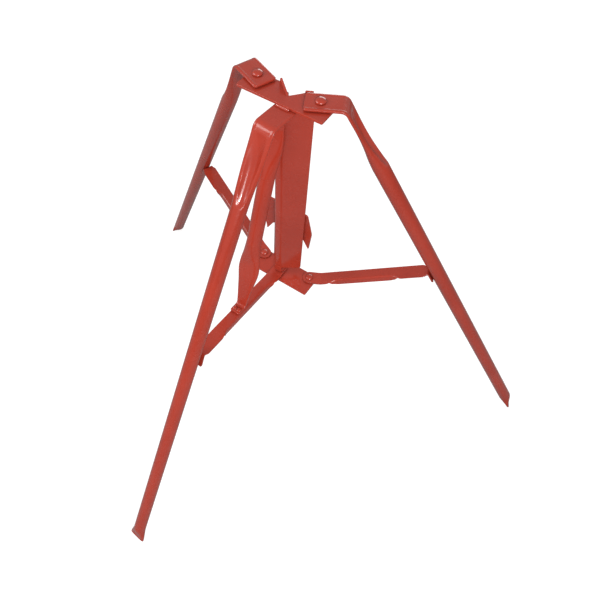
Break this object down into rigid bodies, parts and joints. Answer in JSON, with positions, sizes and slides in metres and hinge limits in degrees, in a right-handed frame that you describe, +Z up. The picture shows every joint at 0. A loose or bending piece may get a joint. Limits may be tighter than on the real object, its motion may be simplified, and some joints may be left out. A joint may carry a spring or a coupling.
{
  "type": "tripod pipe vise stand",
  "caption": "Folding tripod stand for a pipe vise: tube legs with pressed flat tops and chisel feet, sheet braces, a folded column and two brackets; the rear legs swing back to fold.",
  "frame": {"origin": "on the floor, under the middle of the opened stand's box", "axes": "+Z up; the front leg points along -Y, the right leg towards +X; the top bracket's top face is 0.833 m over the floor"},
  "size_m": [1.0234, 0.7746, 0.846],
  "materials": {
    "red_paint": "gloss"
  },
  "bodies": {
    "frame": {"top_bracket": "red_paint", "column": "red_paint", "back_plate": "red_paint", "back_plate_rivets": "red_paint", "lower_bracket": "red_paint", "front_leg": "red_paint", "front_weld_bead": "red_paint", "front_brace": "red_paint", "front_brace_rivets": "red_paint", "front_hub_rivet": "red_paint", "center_strut": "red_paint", "strut_foot_rivets": "red_paint", "strut_top_rivet": "red_paint", "right_top_pivot_rivet": "red_paint", "left_top_pivot_rivet": "red_paint", "right_hub_pivot_rivet": "red_paint", "left_hub_pivot_rivet": "red_paint"},
    "right_gate": {"right_leg": "red_paint", "right_brace": "red_paint", "right_brace_rivets": "red_paint"},
    "left_gate": {"left_leg": "red_paint", "left_brace": "red_paint", "left_brace_rivets": "red_paint"}
  },
  "joints": [
    {"name": "right_leg_swing", "type": "hinge", "parent": "frame", "child": "right_gate", "pos_m": [0.06099, 0.14223, 0.833], "axis": [0, 0, 1], "range_deg": [0, 62]},
    {"name": "left_leg_swing", "type": "hinge", "parent": "frame", "child": "left_gate", "pos_m": [-0.04401, 0.14223, 0.833], "axis": [0, 0, 1], "range_deg": [-67, 0]}
  ]
}
